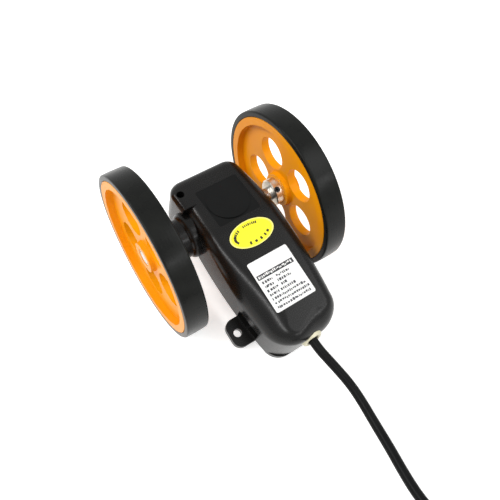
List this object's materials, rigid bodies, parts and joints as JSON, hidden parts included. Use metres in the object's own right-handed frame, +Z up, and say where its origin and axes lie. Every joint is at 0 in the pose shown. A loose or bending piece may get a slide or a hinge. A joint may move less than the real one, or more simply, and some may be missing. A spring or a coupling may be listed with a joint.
{
  "type": "cable length counter",
  "caption": "Two-wheeled rolling length counter: rubber-tyred measuring wheels on a shaft through a black casing that holds a pulse encoder, with a lead at the tail.",
  "frame": {"origin": "centre of the counter's footprint, on the surface that it stands on, the free lead not counted", "axes": "+X along the shaft toward the wheel beside the plain side wall, +Y from the tail toward the wheels, +Z up"},
  "size_m": [0.1371, 0.2915, 0.0955],
  "materials": {
    "black_casing": "moulded, fine satin grain",
    "black_insulation": "extruded insulation",
    "black_parts": "moulded",
    "black_sheath": "extruded sheath",
    "blue_insulation": "extruded insulation",
    "board_green": "solder mask over glass laminate",
    "bright_steel": "ground steel",
    "brown_insulation": "extruded insulation",
    "dark_steel": "blackened steel",
    "ivory_plastic": "moulded soft plastic",
    "label_white": "printed film",
    "orange_plastic": "moulded, satin gloss",
    "plated_hub": "nickel plated, turned",
    "polished_black": "polished black",
    "sticker_yellow": "printed film",
    "terminal_grey": "moulded",
    "turned_aluminium": "turned",
    "tyre_rubber": "ground rubber, satin"
  },
  "bodies": {
    "housing": {"badge_disc": "polished_black", "badge_plate": "polished_black", "base_plate": "black_casing", "black_core": "black_insulation", "blue_core": "blue_insulation", "board_components": "black_parts", "board_screws": "dark_steel", "brown_core": "brown_insulation", "cable_coil": "black_sheath", "cable_lead": "black_sheath", "casing": "black_casing", "circuit_board": "board_green", "forked_sensor": "black_parts", "grommet": "ivory_plastic", "head_screws": "dark_steel", "inner_cores": "blue_insulation", "inner_lead": "black_sheath", "label_plate": "label_white", "lead_clamp": "black_parts", "left_bearing_clip": "dark_steel", "left_bearing_outer_ring": "bright_steel", "left_bearing_shields": "bright_steel", "oval_sticker": "sticker_yellow", "right_bearing_clip": "dark_steel", "right_bearing_outer_ring": "bright_steel", "right_bearing_shields": "bright_steel", "tail_screws": "dark_steel", "terminal_block": "terminal_grey"},
    "wheel_set": {"encoder_clamp_ring": "turned_aluminium", "encoder_disc": "bright_steel", "encoder_hub": "turned_aluminium", "encoder_set_screw": "dark_steel", "left_bearing_inner_ring": "bright_steel", "left_grub_screw": "dark_steel", "left_tyre": "tyre_rubber", "left_wheel_centre": "orange_plastic", "left_wheel_hub": "plated_hub", "right_bearing_inner_ring": "bright_steel", "right_grub_screw": "dark_steel", "right_tyre": "tyre_rubber", "right_wheel_centre": "orange_plastic", "right_wheel_hub": "plated_hub", "shaft": "bright_steel", "shaft_retaining_rings": "dark_steel"},
    "left_ball_set": {"left_bearing_balls": "bright_steel"},
    "right_ball_set": {"right_bearing_balls": "bright_steel"}
  },
  "joints": [
    {"name": "wheel_spin", "type": "hinge", "parent": "housing", "child": "wheel_set", "pos_m": [0, 0.01661, 0.04775], "axis": [1, 0, 0], "continuous": true},
    {"name": "left_ball_spin", "type": "hinge", "parent": "housing", "child": "left_ball_set", "pos_m": [-0.0273, 0.01661, 0.04775], "axis": [1, 0, 0], "continuous": true},
    {"name": "right_ball_spin", "type": "hinge", "parent": "housing", "child": "right_ball_set", "pos_m": [0.0194, 0.01661, 0.04775], "axis": [1, 0, 0], "continuous": true}
  ],
  "couplings": [
    {"joint": "left_ball_spin", "follows": "wheel_spin", "ratio": 0.3815},
    {"joint": "right_ball_spin", "follows": "wheel_spin", "ratio": 0.3815}
  ]
}
